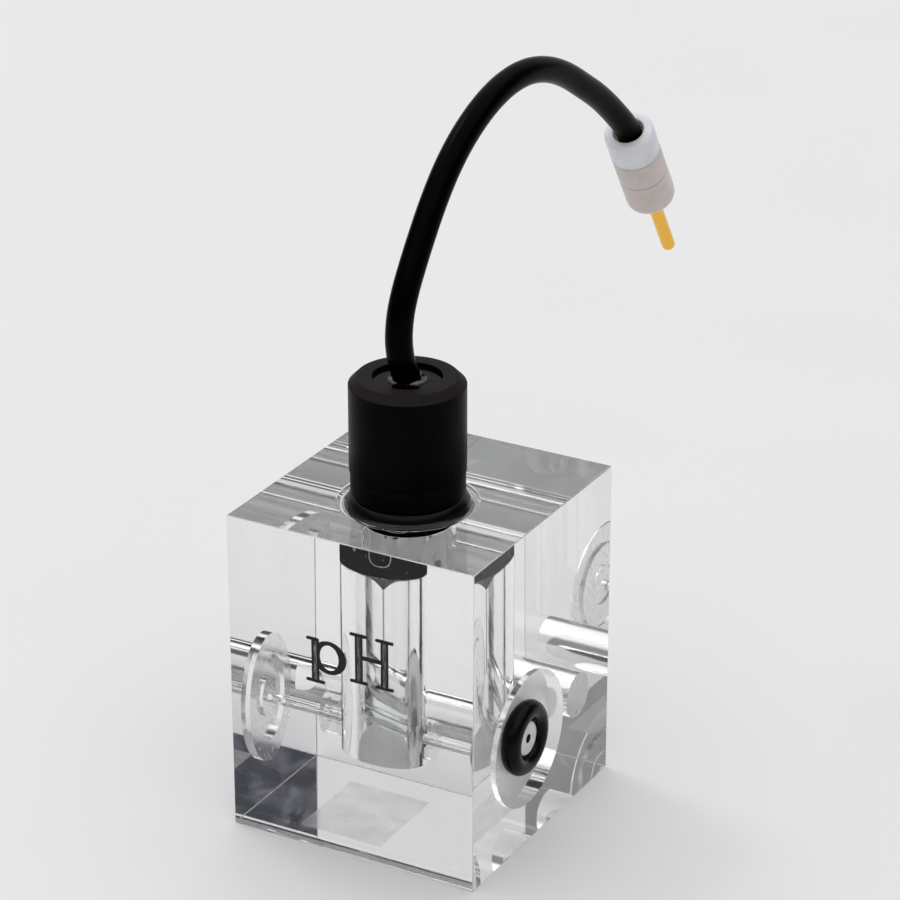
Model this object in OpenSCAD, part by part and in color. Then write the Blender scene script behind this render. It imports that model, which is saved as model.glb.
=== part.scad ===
// Flow-through pH electrode: a clear acrylic cell block with a glass sample capillary,
// an electrode plug sealed into its top, and a short stiff lead that ends in a gold pin.
// Millimetres. X runs along the sample channel, Y from the lettered face to the back,
// and Z up. The origin is the centre of the block's base.

/* [Cell block] */
// Width of the block, along the sample channel
block_w = 24; // [23:0.5:34]
// Depth of the block, front to back
block_d = 25; // [24:0.5:36]
// Height of the block
block_h = 30; // [27:0.5:44]
// Polished chamfer along the block's edges
edge_break = 0.15; // [0.05:0.05:0.5]
// Distance from the front face to the electrode's axis
axis_from_front = 10.1; // [8:0.1:12]

/* [Chamber] */
// Diameter of the electrolyte chamber, whose top holds the electrode's stem
chamber_dia = 8.2; // [7:0.1:8.6]
// Thickness of the acrylic under the chamber
floor_h = 7.5; // [4:0.1:7.8]
// Length of stem in the chamber, below the seal's seat
stem_depth = 3.3; // [2:0.1:5]
// Room between the plug's seal ring and the wall of its seat
seat_room = 0.85; // [0.35:0.05:2]
// Depth of the seal's seat
seat_depth = 1.2; // [0.6:0.1:2]

/* [Sample channel] */
// Height of the sample channel above the base
channel_h = 10; // [10:0.1:13]
// Diameter of the sample channel
channel_dia = 1.0; // [0.6:0.1:1.2]
// Outer diameter of the glass capillary
glass_dia = 1.6; // [1.4:0.1:2.2]
// Diameter of the cross bore that takes the glass seals
cross_dia = 3.9; // [3.2:0.1:4.4]
// Length of the left glass seal, from the chamber's wall
left_gland_l = 1.8; // [1:0.05:3]
// Length of the right glass seal, from the chamber's wall
right_gland_l = 1.0; // [0.6:0.05:2]
// Depth of the nozzle seat in the left face
inlet_seat_depth = 0.3; // [0.1:0.05:0.6]

/* [Ports] */
// Diameter of the round recess in each end face
port_dia = 12.4; // [11:0.1:14]
// Depth of the right recess, which carries the nozzle and its ring
port_depth = 1.4; // [1:0.05:1.7]
// Diameter of the boss inside the left recess
boss_dia = 8.2; // [7:0.1:10]
// Depth of the ring groove round that boss
groove_depth = 0.45; // [0.3:0.05:1.4]
// Outer diameter of the nozzle
nozzle_dia = 3.1; // [2.6:0.1:3.8]
// Diameter of the nozzle's hole
nozzle_bore = 0.8; // [0.4:0.1:1.1]
// Length of nozzle that is set into the block
nozzle_seat = 1.6; // [1:0.1:3]
// Distance from the block's right face back to the nozzle's end
nozzle_setback = 0.13; // [0.05:0.01:0.4]
// Bevel at the nozzle's end
nozzle_lip = 0.1; // [0.05:0.01:0.2]
// Section of the ring round the nozzle
face_ring_d = 1.8; // [1.6:0.1:2.4]

/* [Guide bore] */
// Diameter of the blind bore for the holder's guide rod
guide_dia = 4.2; // [3:0.1:5]
// Distance from the back face to the guide bore's axis
guide_from_back = 4.25; // [3.2:0.05:4.6]
// Height of the guide bore above the base
guide_h = 9.1; // [6:0.1:20]
// Acrylic left between the guide bore's end and the right face
guide_wall = 2.5; // [1.5:0.1:6]

/* [Electrode plug] */
// Section of the seal ring under the plug's collar
plug_ring_d = 2.2; // [1.8:0.1:2.6]
// Inner diameter of that seal ring
plug_ring_bore = 6.3; // [5.4:0.1:6.8]
// Diameter of the plug's collar
collar_dia = 9.9; // [9.4:0.1:11]
// Height of the plug's collar
collar_h = 2; // [1:0.1:4]
// Diameter of the spigot inside the cap
spigot_dia = 7.6; // [7:0.1:8.2]
// Height of that spigot
spigot_h = 4.5; // [3:0.1:5.6]
// Diameter of the wire's hole through the plug
wire_hole_dia = 0.5; // [0.4:0.05:0.8]

/* [Silver wire] */
// Diameter of the silver wire
wire_dia = 0.25; // [0.15:0.05:0.35]
// Height of the wire's lower end above the sample channel
wire_above = 4.5; // [1.5:0.1:8]
// Gap between the edge of the sealant drop under the plug and the chamber's wall
drop_margin = 0.1; // [0.05:0.05:1.5]
// Height of the sealant drop
drop_h = 2.8; // [1:0.05:3.5]

/* [Cap] */
// Diameter of the cap
cap_dia = 10.1; // [9.6:0.1:12]
// Height of the cap
cap_h = 8.6; // [8.2:0.1:14]
// Chamfer round the cap's top
cap_chamfer = 0.7; // [0.3:0.05:1.2]
// Chamfer of the joint line between cap and collar
joint_line = 0.12; // [0.05:0.01:0.3]
// Diameter of the potting well in the cap's top
well_dia = 6; // [5:0.1:6.6]
// Depth of the potting's surface below the cap's top
well_recess = 0.35; // [0.1:0.05:0.8]
// Height of the resin that has crept up the lead
creep_h = 0.5; // [0.2:0.05:0.9]
// Width of that creep at its foot
creep_w = 0.75; // [0.3:0.05:1.2]

/* [Lead] */
// Diameter of the lead's jacket
lead_dia = 2.35; // [1.6:0.05:2.5]
// Length of jacket held in the potting
lead_grip = 1.5; // [1:0.1:2]
// Diameter of the core's insulation
core_dia = 1.4; // [1:0.1:1.5]
// Length of bare insulation past the jacket
core_l = 0.75; // [0.4:0.05:1]
// Diameter of the stranded conductor
strand_dia = 0.6; // [0.4:0.05:0.8]
// Diameter of the solder bead between conductor and wire
bead_dia = 1; // [0.9:0.05:1.3]

/* [Pin plug] */
// Outer diameter of the white sleeve
sleeve_dia = 4.7; // [4.2:0.1:6]
// Bore of the sleeve
sleeve_bore = 2.9; // [2.8:0.05:3.4]
// Length of the rear section
rear_l = 3.05; // [2:0.05:5]
// Length of the middle section
middle_l = 2.9; // [2:0.05:5]
// Length of the front section
front_l = 4.15; // [3:0.05:6]
// Rounding of the sleeve's front edge
front_round = 0.9; // [0.3:0.05:1.3]
// Rounding of the sleeve's mouth
mouth_round = 0.25; // [0.1:0.05:0.5]
// Bevel along the joints between the sections
section_bevel = 0.1; // [0.05:0.01:0.2]
// Diameter of the contact pin
pin_dia = 1.3; // [1:0.1:2]
// Length of the pin beyond the sleeve
pin_l = 7.45; // [5:0.05:12]
// Diameter of the pin's root inside the sleeve
root_dia = 1.7; // [1.6:0.1:2.2]
// Diameter of the pin's flange
flange_dia = 2.6; // [2.3:0.1:2.7]
// Thickness of the pin's flange
flange_h = 1; // [0.6:0.1:1.6]
// Wall of the crimped barrel round the jacket
barrel_wall = 0.2; // [0.1:0.01:0.22]
// Depth of the barrel's rim inside the mouth
barrel_rim = 0.9; // [0.3:0.1:1.5]
// Length of the barrel
barrel_l = 4.2; // [3:0.1:4.4]

/* [Hidden] */
$fn = 96;

// Gap of a bonded or pressed joint, per side
bond_gap = 0.02;
// Gap between a rubber ring and the post inside it, per side
ring_gap = 0.05;
// Length by which a cut runs past the face it leaves
over = 1;

// Block faces and axes
left_x = -block_w / 2;
right_x = block_w / 2;
front_y = -block_d / 2;
back_y = block_d / 2;
axis_y = front_y + axis_from_front;
guide_y = back_y - guide_from_back;

// Heights of the stack on the electrode's axis
seat_z = block_h - seat_depth;
stem_z = seat_z - stem_depth;
collar_z = seat_z + plug_ring_d;
cap_z = collar_z + collar_h;
spigot_z = cap_z + spigot_h;
cap_top_z = cap_z + cap_h;
exit_z = cap_top_z - well_recess;
jacket_z = exit_z - lead_grip;
core_z = jacket_z - core_l;
wire_z = channel_h + wire_above;
joint_z = spigot_z + bead_dia / 2;

// Sample channel, left to right
left_pocket_x = -chamber_dia / 2 - left_gland_l;
right_pocket_x = chamber_dia / 2 + right_gland_l;
port_floor_x = right_x - port_depth;
nozzle_root_x = port_floor_x - nozzle_seat;
nozzle_end_x = right_x - nozzle_setback;
face_ring_mean = nozzle_dia + 2 * ring_gap + face_ring_d;
plug_ring_mean = plug_ring_bore + plug_ring_d;
seat_dia = plug_ring_mean + plug_ring_d + 2 * seat_room;

// Pin plug, measured along its own axis from the mouth
middle_s = rear_l;
front_s = rear_l + middle_l;
sleeve_l = rear_l + middle_l + front_l;
barrel_dia = sleeve_bore - 2 * bond_gap;

// Lead's route from the point where it leaves the potting, in the plane x = 0
lead_sides = 8;
lead_exit = [0, axis_y, exit_z];
lead_route = [
    [0, 0, -lead_grip], [0, 0, 0], [0, -0.7, 1.3], [0, -1.2, 2.7], [0, -1.4, 4.3],
    [0, -1.1, 6.2], [0, -0.3, 8], [0, 0.8, 9.7], [0, 2.5, 12], [0, 4.5, 14.4],
    [0, 7, 16.8], [0, 10, 18.8], [0, 13.5, 20.3], [0, 17.2, 21.1], [0, 21, 21.1],
    [0, 24.6, 20.3], [0, 28, 18.9], [0, 31.5, 16.9], [0, 35, 14.7], [0, 38.3, 12.2],
    [0, 41, 9.8], [0, 42.2, 7.95], [0, 43.4, 6.1]
];
mouth_index = 20;
plug_dip = 57;
// Angle at which the lead leaves the potting, from the vertical towards the front
lead_lean = atan2(lead_route[1][1] - lead_route[2][1], lead_route[2][2] - lead_route[1][2]);
mouth = lead_exit + lead_route[mouth_index];
route_end = lead_route[len(lead_route) - 1] - lead_route[mouth_index];
jacket_end_s = norm(route_end);

// Direction of the route at point i, between its neighbours
function route_dir(i) =
    let(a = lead_route[max(i - 1, 0)], b = lead_route[min(i + 1, len(lead_route) - 1)])
    (b - a) / norm(b - a);

// Point j of the ring round route point i, square to the route there
function ring_point(i, j) =
    let(t = route_dir(i), side = [1, 0, 0], up = cross(t, side), angle = 360 * j / lead_sides)
    lead_exit + lead_route[i] + lead_dia / 2 * (side * cos(angle) + up * sin(angle));

// Tube closed at both ends, with one ring for each route point
module lead_tube() {
    rings = len(lead_route);
    points = [for (i = [0 : rings - 1], j = [0 : lead_sides - 1]) ring_point(i, j)];
    walls = [for (i = [0 : rings - 2], j = [0 : lead_sides - 1])
        let(k = (j + 1) % lead_sides)
        [i * lead_sides + j, (i + 1) * lead_sides + j, (i + 1) * lead_sides + k, i * lead_sides + k]];
    start = [for (j = [0 : lead_sides - 1]) j];
    end = [for (j = [lead_sides - 1 : -1 : 0]) (rings - 1) * lead_sides + j];
    polyhedron(points = points, faces = concat([start], walls, [end]));
}

// Cylinder on the electrode's axis between two heights
module post(dia, low, high) {
    translate([0, axis_y, low]) cylinder(d = dia, h = high - low);
}

// Cylinder along X at a given Y and height, between two X values
module bar(dia, y, z, from_x, to_x) {
    translate([from_x, y, z]) rotate([0, 90, 0]) cylinder(d = dia, h = to_x - from_x);
}

// Rubber ring that lies in the XY plane round the Z axis
module rubber_ring(mean, section) {
    rotate_extrude() translate([mean / 2, 0]) circle(d = section);
}

// Rectangle with its four corners cut at 45 degrees
module cut_corner_square(a, b, cut) {
    polygon([
        [-a / 2 + cut, -b / 2], [a / 2 - cut, -b / 2], [a / 2, -b / 2 + cut], [a / 2, b / 2 - cut],
        [a / 2 - cut, b / 2], [-a / 2 + cut, b / 2], [-a / 2, b / 2 - cut], [-a / 2, -b / 2 + cut]
    ]);
}

// Block with every edge broken, from three crossed prisms
module block_blank() {
    intersection() {
        linear_extrude(block_h) cut_corner_square(block_w, block_d, edge_break);
        translate([0, back_y, block_h / 2]) rotate([90, 0, 0])
            linear_extrude(block_d) cut_corner_square(block_w, block_h, edge_break);
        translate([left_x, 0, block_h / 2]) rotate([90, 0, 90])
            linear_extrude(block_w) cut_corner_square(block_d, block_h, edge_break);
    }
}

// Everything drilled from the top: the seal's seat and the chamber
module top_bores() {
    post(seat_dia, seat_z, block_h + over);
    post(chamber_dia, floor_h, seat_z + over);
}

// The sample channel: cross bore from the left, channel and nozzle seat from the right
module channel_bores() {
    bar(cross_dia, axis_y, channel_h, left_x - over, right_pocket_x);
    bar(channel_dia, axis_y, channel_h, 0, nozzle_root_x + over);
    bar(nozzle_dia + 2 * bond_gap, axis_y, channel_h, nozzle_root_x, port_floor_x + over);
}

// Recesses in the two end faces
module port_recesses() {
    bar(port_dia, axis_y, channel_h, port_floor_x, right_x + over);
    difference() {
        bar(port_dia, axis_y, channel_h, left_x - over, left_x + groove_depth);
        bar(boss_dia, axis_y, channel_h, left_x - 2 * over, left_x + groove_depth + over);
    }
}

// Clear acrylic block with its chamber, channel, ports and guide bore
module cell_block() {
    color([0.86, 0.9, 0.92, 0.35])
    difference() {
        block_blank();
        top_bores();
        channel_bores();
        port_recesses();
        bar(guide_dia, guide_y, guide_h, left_x - over, right_x - guide_wall);
    }
}

// Clear bush bonded into the cross bore, which closes it behind the glass
module inlet_bush() {
    color([0.82, 0.87, 0.9, 0.4])
    difference() {
        bar(cross_dia - 2 * bond_gap, axis_y, channel_h, left_x + inlet_seat_depth, left_pocket_x);
        bar(channel_dia, axis_y, channel_h, left_x - over, left_pocket_x + over);
    }
}

// White nozzle in the right recess, which the neighbouring cell's channel meets
module flow_nozzle() {
    outer = nozzle_dia / 2;
    inner = nozzle_bore / 2;
    length = nozzle_end_x - nozzle_root_x;
    color([0.82, 0.82, 0.8])
    translate([nozzle_root_x, axis_y, channel_h]) rotate([0, 90, 0]) rotate_extrude() polygon([
        [inner, 0], [outer, 0], [outer, length - nozzle_lip], [outer - nozzle_lip, length],
        [inner, length]]);
}

// Black rubber ring round the nozzle, proud of the block's right face
module face_ring() {
    color([0.05, 0.05, 0.05])
    translate([port_floor_x + face_ring_d / 2, axis_y, channel_h]) rotate([0, 90, 0])
        rubber_ring(face_ring_mean, face_ring_d);
}

// Glass capillary that carries the sample across the chamber
module glass_capillary() {
    color([0.8, 0.9, 0.88, 0.5])
    difference() {
        bar(glass_dia, axis_y, channel_h, left_pocket_x, right_pocket_x);
        bar(channel_dia, axis_y, channel_h, left_pocket_x - over, right_pocket_x + over);
    }
}

// Clear seal between the glass and the cross bore, between two X values
module gland(from_x, to_x) {
    color([0.88, 0.88, 0.84, 0.6])
    difference() {
        bar(cross_dia - 2 * bond_gap, axis_y, channel_h, from_x, to_x);
        bar(glass_dia + 2 * bond_gap, axis_y, channel_h, from_x - over, to_x + over);
    }
}

module left_gland() {
    gland(left_pocket_x, -chamber_dia / 2);
}

module right_gland() {
    gland(chamber_dia / 2, right_pocket_x);
}

// Black plug turned in one piece: stem, ring groove, collar and spigot
module electrode_plug() {
    color([0.08, 0.08, 0.09])
    difference() {
        union() {
            post(chamber_dia - 2 * bond_gap, stem_z, seat_z);
            post(plug_ring_bore - 2 * ring_gap, seat_z, collar_z);
            post(collar_dia, collar_z, cap_z - joint_line);
            translate([0, axis_y, cap_z - joint_line])
                cylinder(d1 = collar_dia, d2 = collar_dia - 2 * joint_line, h = joint_line);
            post(spigot_dia, cap_z, spigot_z);
        }
        post(wire_hole_dia, stem_z - over, spigot_z + over);
    }
}

// Black rubber ring squeezed between the collar and the block
module plug_ring() {
    color([0.05, 0.05, 0.05])
    translate([0, axis_y, seat_z + plug_ring_d / 2]) rubber_ring(plug_ring_mean, plug_ring_d);
}

// Drop of black sealant that closes the wire's hole, with a slightly hollow flank
module wire_seal() {
    steps = 12;
    flank = 0.04;
    base_r = chamber_dia / 2 - drop_margin;
    wire_r = wire_dia / 2 + bond_gap;
    tip_r = wire_r + 0.1;
    profile = [for (i = [0 : steps])
        let(t = i / steps)
        [base_r + (tip_r - base_r) * (t + flank * sin(180 * t)), -drop_h * t]];
    color([0.12, 0.12, 0.13])
    translate([0, axis_y, stem_z])
        rotate_extrude() polygon(concat([[wire_r, 0]], profile, [[wire_r, -drop_h]]));
}

// Silver wire from the solder bead down into the chamber
module silver_wire() {
    color([0.7, 0.66, 0.6])
    post(wire_dia, wire_z, joint_z);
}

// Black cap over the spigot, with a chamfered top and the potting well
module lead_cap() {
    color([0.06, 0.06, 0.06])
    difference() {
        union() {
            translate([0, axis_y, cap_z])
                cylinder(d1 = cap_dia - 2 * joint_line, d2 = cap_dia, h = joint_line);
            post(cap_dia, cap_z + joint_line, cap_top_z - cap_chamfer);
            translate([0, axis_y, cap_top_z - cap_chamfer])
                cylinder(d1 = cap_dia, d2 = cap_dia - 2 * cap_chamfer, h = cap_chamfer);
        }
        post(spigot_dia + 2 * bond_gap, cap_z - over, spigot_z);
        post(well_dia, spigot_z - over, cap_top_z + over);
    }
}

// Solder bead, conductor and core between the wire and the jacket, each grown by a gap
module bead_form(gap) {
    translate([0, axis_y, joint_z]) sphere(d = bead_dia + 2 * gap);
}

module conductor_form(gap) {
    post(strand_dia + 2 * gap, joint_z, core_z);
}

module core_form(gap) {
    post(core_dia + 2 * gap, core_z, jacket_z);
}

// Resin fill round the lead's end, with the creep where it wetted the jacket
module potting() {
    steps = 5;
    hole_r = lead_dia / 2 + bond_gap;
    creep = [for (i = [0 : steps])
        let(t = 90 * i / steps)
        [hole_r + creep_w * (1 - sin(t)), creep_h * (1 - cos(t))]];
    color([0.1, 0.1, 0.11])
    difference() {
        union() {
            post(well_dia - 2 * bond_gap, spigot_z, exit_z);
            translate([0, axis_y, exit_z])
                rotate_extrude() polygon(concat([[0, 0]], creep, [[0, creep_h]]));
        }
        post(2 * hole_r, jacket_z, exit_z);
        translate(lead_exit) rotate([lead_lean, 0, 0]) translate([0, 0, -hole_r * sin(lead_lean)])
            cylinder(r = hole_r + bond_gap, h = 3 * over);
        core_form(bond_gap);
        conductor_form(bond_gap);
        bead_form(bond_gap);
        post(wire_hole_dia, spigot_z - over, joint_z);
    }
}

module solder_bead() {
    color([0.75, 0.75, 0.76])
    difference() {
        bead_form(0);
        post(wire_dia + 2 * bond_gap, joint_z - bead_dia, joint_z);
        conductor_form(bond_gap);
    }
}

module cap_conductor() {
    color([0.8, 0.5, 0.3])
    conductor_form(0);
}

module core_insulation() {
    color([0.85, 0.85, 0.82])
    core_form(0);
}

// Black jacket of the lead, from the potting to the pin plug
module lead_jacket() {
    color([0.07, 0.07, 0.08])
    lead_tube();
}

// Puts a shape that is drawn along Z from the mouth onto the pin plug's axis
module on_plug_axis() {
    translate(mouth) rotate([-90 - plug_dip, 0, 0]) children();
}

// Quarter-round edge from angle a to b, as profile points round a centre
function arc_points(cx, cy, r, a, b) = [for (i = [0 : 8]) let(t = a + (b - a) * i / 8)
    [cx + r * cos(t), cy + r * sin(t)]];

// White rear section with a softly rounded mouth
module rear_sleeve() {
    outer = sleeve_dia / 2;
    inner = sleeve_bore / 2;
    mouth_edge = arc_points(outer - mouth_round, mouth_round, mouth_round, -90, 0);
    color([0.9, 0.92, 0.95])
    on_plug_axis() rotate_extrude() polygon(concat(
        [[inner, 0]], mouth_edge,
        [[outer, rear_l - section_bevel], [outer - section_bevel, rear_l], [inner, rear_l]]));
}

// White middle section, bevelled at both joints
module middle_sleeve() {
    outer = sleeve_dia / 2;
    inner = sleeve_bore / 2;
    color([0.88, 0.86, 0.85])
    on_plug_axis() translate([0, 0, middle_s]) rotate_extrude() polygon([
        [inner, 0], [outer - section_bevel, 0], [outer, section_bevel],
        [outer, middle_l - section_bevel], [outer - section_bevel, middle_l], [inner, middle_l]]);
}

// White front section, which holds the pin's flange and has a rounded nose
module front_sleeve() {
    outer = sleeve_dia / 2;
    hole = root_dia / 2 + bond_gap;
    pocket = flange_dia / 2 + bond_gap;
    nose = arc_points(outer - front_round, front_l - front_round, front_round, 0, 90);
    color([0.87, 0.84, 0.82])
    on_plug_axis() translate([0, 0, front_s]) rotate_extrude() polygon(concat(
        [[hole, flange_h], [pocket, flange_h], [pocket, 0], [outer - section_bevel, 0],
         [outer, section_bevel]], nose, [[hole, front_l]]));
}

// Copper barrel crimped round the jacket's end
module crimp_barrel() {
    inner = barrel_dia / 2 - barrel_wall;
    color([0.75, 0.5, 0.35])
    on_plug_axis() translate([0, 0, barrel_rim]) difference() {
        cylinder(d = barrel_dia, h = barrel_l);
        translate([0, 0, -over]) cylinder(r = inner, h = barrel_l + 2 * over);
    }
}

// Bare conductor between the jacket's end and the pin's flange
module pin_conductor() {
    color([0.8, 0.5, 0.3])
    on_plug_axis() translate([0, 0, jacket_end_s]) cylinder(d = strand_dia, h = front_s - jacket_end_s);
}

// Gold contact pin with its flange, its root in the sleeve and a rounded tip
module contact_pin() {
    pin_r = pin_dia / 2;
    root_r = root_dia / 2;
    root_s = sleeve_l - front_s;
    tip_s = root_s + pin_l;
    tip_r = pin_r * 0.8;
    tip = arc_points(pin_r - tip_r, tip_s - tip_r, tip_r, 0, 90);
    color([0.9, 0.68, 0.28])
    on_plug_axis() translate([0, 0, front_s]) rotate_extrude() polygon(concat(
        [[0, 0], [flange_dia / 2, 0], [flange_dia / 2, flange_h], [root_r, flange_h],
         [root_r, root_s], [pin_r, root_s]],
        tip, [[0, tip_s]]));
}

cell_block();
inlet_bush();
flow_nozzle();
face_ring();
glass_capillary();
left_gland();
right_gland();
electrode_plug();
plug_ring();
wire_seal();
silver_wire();
lead_cap();
potting();
solder_bead();
cap_conductor();
core_insulation();
lead_jacket();
rear_sleeve();
middle_sleeve();
front_sleeve();
crimp_barrel();
pin_conductor();
contact_pin();
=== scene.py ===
import math
from itertools import product

import bmesh
import bpy
import numpy as np
from mathutils import Matrix, Vector


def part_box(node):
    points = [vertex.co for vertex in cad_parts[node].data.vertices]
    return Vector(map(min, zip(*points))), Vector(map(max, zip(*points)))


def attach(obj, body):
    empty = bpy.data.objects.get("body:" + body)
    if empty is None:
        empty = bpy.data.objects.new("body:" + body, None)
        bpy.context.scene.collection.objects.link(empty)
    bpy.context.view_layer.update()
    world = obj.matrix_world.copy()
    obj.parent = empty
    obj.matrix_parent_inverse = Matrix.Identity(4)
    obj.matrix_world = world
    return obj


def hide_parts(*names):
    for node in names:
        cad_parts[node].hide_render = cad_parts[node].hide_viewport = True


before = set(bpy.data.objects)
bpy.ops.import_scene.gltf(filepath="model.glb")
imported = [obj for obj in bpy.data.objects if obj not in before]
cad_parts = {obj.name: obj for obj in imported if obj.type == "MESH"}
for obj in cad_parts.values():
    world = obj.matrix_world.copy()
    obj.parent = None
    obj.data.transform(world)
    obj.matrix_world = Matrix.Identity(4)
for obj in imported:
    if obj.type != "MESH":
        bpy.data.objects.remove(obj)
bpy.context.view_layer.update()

# One millimetre in the scene's metres. Sizes below are in millimetres.
MM = 0.001


def box_mm(name):
    """Lowest and highest corner of a CAD node in millimetres."""
    low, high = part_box(name)
    return np.array(low) / MM, np.array(high) / MM


# Driving sizes, from the frame
BLOCK_LOW, BLOCK_HIGH = box_mm("cell_block")
CAP_LOW, CAP_HIGH = box_mm("lead_cap")
PLUG_LOW, PLUG_HIGH = box_mm("electrode_plug")
RING_LOW, RING_HIGH = box_mm("plug_ring")
FACE_RING_LOW, FACE_RING_HIGH = box_mm("face_ring")
NOZZLE_LOW, NOZZLE_HIGH = box_mm("flow_nozzle")
GLASS_LOW, GLASS_HIGH = box_mm("glass_capillary")
LEFT_GLAND_LOW, LEFT_GLAND_HIGH = box_mm("left_gland")
RIGHT_GLAND_LOW, RIGHT_GLAND_HIGH = box_mm("right_gland")
DROP_LOW, DROP_HIGH = box_mm("wire_seal")

AXIS_Y = (CAP_LOW[1] + CAP_HIGH[1]) / 2
CHANNEL_Z = (GLASS_LOW[2] + GLASS_HIGH[2]) / 2
# A point on the axis of the plug, and one on that of the sample's way
PLUG_AT = (0, AXIS_Y, 0)
FLOW_AT = (0, AXIS_Y, CHANNEL_Z)
SEAT_Z = RING_LOW[2]
STEM_Z = PLUG_LOW[2]
COLLAR_Z = RING_HIGH[2]
PORT_FLOOR_X = FACE_RING_LOW[0]
NOZZLE_ROOT_X = NOZZLE_LOW[0]
GLASS_R = (GLASS_HIGH[2] - GLASS_LOW[2]) / 2
GLAND_R = (LEFT_GLAND_HIGH[2] - LEFT_GLAND_LOW[2]) / 2

# Sizes that the boxes above don't tell, as in the part's source
CHAMBER_R = 4.1
CHAMBER_FLOOR_Z = 7.5
PORT_R = 6.2
CHANNEL_R = 0.5
BOSS_R = 4.1
GROOVE_DEPTH = 0.45
INLET_SEAT_R = 1.95
INLET_SEAT_DEPTH = 0.3
NOZZLE_HOLE_R = 0.4
NOZZLE_LIP = 0.1
GUIDE_R = 2.1
GUIDE_FROM_BACK = 4.25
GUIDE_Z = 9.1
GUIDE_WALL = 2.5
COLLAR_H = 2.0
SPIGOT_R = 3.8
CAP_CHAMFER = 0.7
WELL_R = 3.0
WELL_RECESS = 0.35
# Small edges and gaps of the visible pieces: the block's broken edges, the stem's rounded edge,
# and the gaps between neck and ring and between spigot and cap
EDGE_BREAK = 0.07
STEM_EDGE = 0.16
NECK_GAP = 0.05
SPIGOT_GAP = 0.02
# The seals are flat washers here, and stop this far short of the chamber's round wall
GLAND_SHORT = 0.1
# Clear cement round the plug's ring: below the seat's rim, its dip, and its climb on the ring
CEMENT_BELOW_RIM = 0.12
CEMENT_DIP = 0.12
CEMENT_CLIMB = 0.22
# Overlap of two bonded pieces, so that no air shows in the joint
BOND = 0.01
# Points nearer than this to a patch's straight edge lie on it
SEAM = 0.0001
# Even steps of a full turn on the bores of the block
WALL_STEPS = 160
# Half width and half height of the window in the chamber's wall, round the glass
WINDOW_HALF = (2.0, 2.2)
# Faces that meet at less than this angle are shaded as one smooth surface
SMOOTH_BELOW = math.radians(35)

UP, DOWN = (0, 0, 1), (0, 0, -1)
RIGHT, LEFT = (1, 0, 0), (-1, 0, 0)
FRONT, BACK = (0, -1, 0), (0, 1, 0)


def unit(v):
    """The vector scaled to length one, along the last axis."""
    v = np.asarray(v, float)
    return v / np.linalg.norm(v, axis=-1, keepdims=True)


# Camera at the photograph's viewing angle
CAMERA_AT = (135.122, -236.408, 156.187)
CAMERA_AZIMUTH = math.radians(29.2445)
CAMERA_ELEVATION = math.radians(24.2069)
CAMERA_LENS = 139.445


def make_camera():
    """Camera whose back points at the azimuth and elevation, with its right side level."""
    a, e = CAMERA_AZIMUTH, CAMERA_ELEVATION
    right = Vector((math.cos(a), math.sin(a), 0))
    back = Vector((math.sin(a) * math.cos(e), -math.cos(a) * math.cos(e), math.sin(e)))
    up = back.cross(right)
    data = bpy.data.cameras.new("photo_camera")
    data.lens = CAMERA_LENS
    data.sensor_width = 36
    data.clip_start = 0.01
    data.clip_end = 20
    camera = bpy.data.objects.new("photo_camera", data)
    turn = Matrix((right, up, back)).transposed().to_4x4()
    camera.matrix_world = Matrix.Translation(Vector(CAMERA_AT) * MM) @ turn
    bpy.context.scene.collection.objects.link(camera)
    bpy.context.scene.camera = camera


# Route of the lead from the point where it leaves the resin, as in the part's source
LEAD_R = 1.175
LEAD_EXIT = np.array([0, AXIS_Y, CAP_HIGH[2] - WELL_RECESS])
LEAD_ROUTE = [
    (0, 0, -1.5), (0, 0, 0), (0, -0.7, 1.3), (0, -1.2, 2.7), (0, -1.4, 4.3),
    (0, -1.1, 6.2), (0, -0.3, 8), (0, 0.8, 9.7), (0, 2.5, 12), (0, 4.5, 14.4),
    (0, 7, 16.8), (0, 10, 18.8), (0, 13.5, 20.3), (0, 17.2, 21.1), (0, 21, 21.1),
    (0, 24.6, 20.3), (0, 28, 18.9), (0, 31.5, 16.9), (0, 35, 14.7), (0, 38.3, 12.2),
    (0, 41, 9.8), (0, 42.2, 7.95), (0, 43.4, 6.1),
]
MOUTH = LEAD_EXIT + np.array(LEAD_ROUTE[20])
PLUG_DIP = math.radians(57)
PLUG_DIR = np.array([0, math.cos(PLUG_DIP), -math.sin(PLUG_DIP)])


# Mesh making

def patch(points, facing, finish=0):
    """Triangles between the rows and columns of a grid of points, turned to face a direction.

    points has the shape (rows, columns, 3). facing is a vector, or a function that gives a vector
    for each triangle's centre. finish is the number of the triangles' material, or a function that
    gives it for each centre.
    """
    points = np.asarray(points, float)
    rows, columns = points.shape[:2]
    index = np.arange(rows * columns).reshape(rows, columns)
    a, b, c, d = index[:-1, :-1], index[:-1, 1:], index[1:, 1:], index[1:, :-1]
    triangles = np.concatenate([np.stack([a, b, c], -1).reshape(-1, 3),
                                np.stack([a, c, d], -1).reshape(-1, 3)])
    flat = points.reshape(-1, 3)
    corners = flat[triangles]
    normals = np.cross(corners[:, 1] - corners[:, 0], corners[:, 2] - corners[:, 0])
    wanted = facing(corners.mean(1)) if callable(facing) else np.asarray(facing, float)
    backward = (normals * wanted).sum(-1) < 0
    triangles[backward] = triangles[backward][:, ::-1]
    number = finish(corners.mean(1)) if callable(finish) else np.full(len(triangles), finish)
    return flat, triangles, number


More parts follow.
